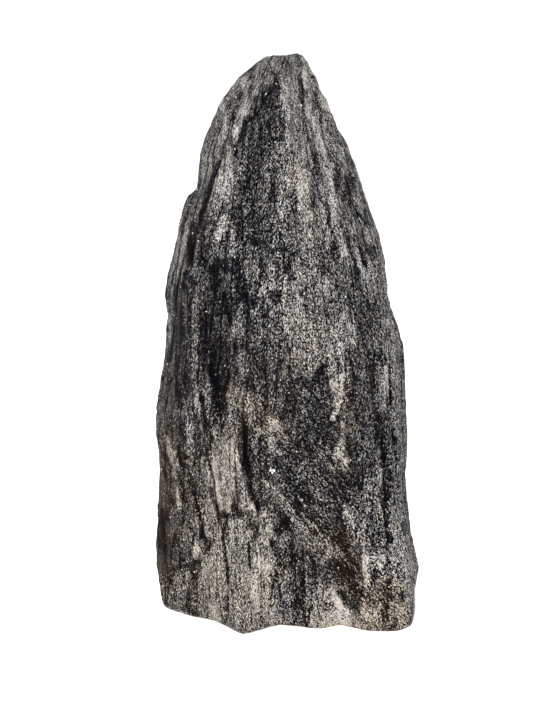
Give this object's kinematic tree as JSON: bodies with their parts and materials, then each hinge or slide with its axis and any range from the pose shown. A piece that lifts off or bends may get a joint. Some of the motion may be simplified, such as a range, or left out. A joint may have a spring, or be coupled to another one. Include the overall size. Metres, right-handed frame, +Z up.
{
  "type": "fuchsite mica schist specimen",
  "caption": "Upright rough-broken block of banded grey mica schist, tapering from a broad flat foot to a blunt tip, kept as a display mineral specimen.",
  "frame": {"origin": "centre of the stone's outer box seen from above, on the plane of the flat foot that it stands on", "axes": "+Z up along the foliation and the stone's length, -Y out of the broad front that is seen, +X to the right when looking at that front"},
  "size_m": [0.0882, 0.0546, 0.1814],
  "materials": {
    "schist": "rough broken schist in dark grey and pale grey-beige bands that run up the stone, with the satin sheen and small glints of mica"
  },
  "bodies": {
    "root": {"schist_block": "schist"}
  },
  "joints": []
}
